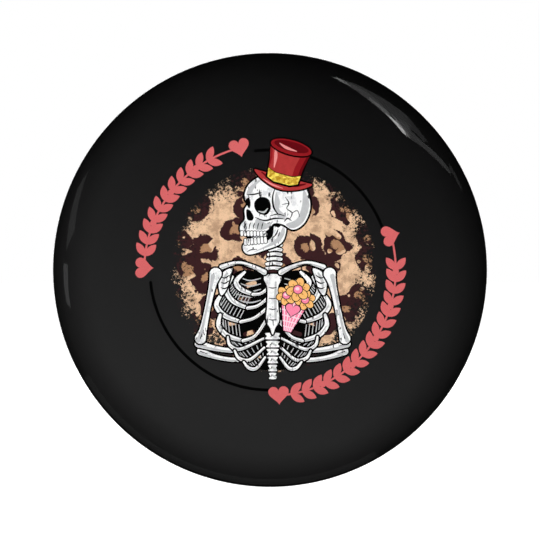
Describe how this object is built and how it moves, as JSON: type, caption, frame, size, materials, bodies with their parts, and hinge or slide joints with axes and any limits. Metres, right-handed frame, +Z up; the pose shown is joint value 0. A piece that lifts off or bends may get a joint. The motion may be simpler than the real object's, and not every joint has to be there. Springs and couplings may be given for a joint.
{
  "type": "pin-back button badge",
  "caption": "Round domed tinplate button badge with a film-covered print, and a hinged needle with a roll-over safety catch on its back.",
  "frame": {"origin": "middle of the rolled rim, in the plane of the rim's rear face", "axes": "as worn: +Z up, the picture faces -Y, the wearer's garment is on +Y, +X to the right of somebody who looks at the picture"},
  "size_m": [0.058, 0.0107, 0.058],
  "materials": {
    "film": "clear glossy polyester film",
    "print": "printed coated paper, mostly black",
    "tinplate": "bright rolled tinplate",
    "nickel": "nickel-plated pressed steel",
    "rivet": "headed wire",
    "needle_steel": "polished drawn wire",
    "tumbler_brass": "satin brass"
  },
  "bodies": {
    "badge": {"clear_film": "film", "printed_paper": "print", "front_shell": "tinplate", "back_plate": "tinplate", "pin_bar": "nickel", "bar_rivets": "rivet", "hinge_rivet": "rivet", "catch_housing": "nickel"},
    "needle": {"pin_needle": "needle_steel"},
    "tumbler": {"catch_tumbler": "tumbler_brass"}
  },
  "joints": [
    {"name": "needle_swing", "type": "hinge", "parent": "badge", "child": "needle", "pos_m": [-0.0155, 0.002, 0.006], "axis": [0, 0, 1], "range_deg": [0, 115]},
    {"name": "tumbler_turn", "type": "hinge", "parent": "badge", "child": "tumbler", "pos_m": [0.0145, 0.002, 0.006], "axis": [1, 0, 0], "range_deg": [-85, 0]}
  ]
}
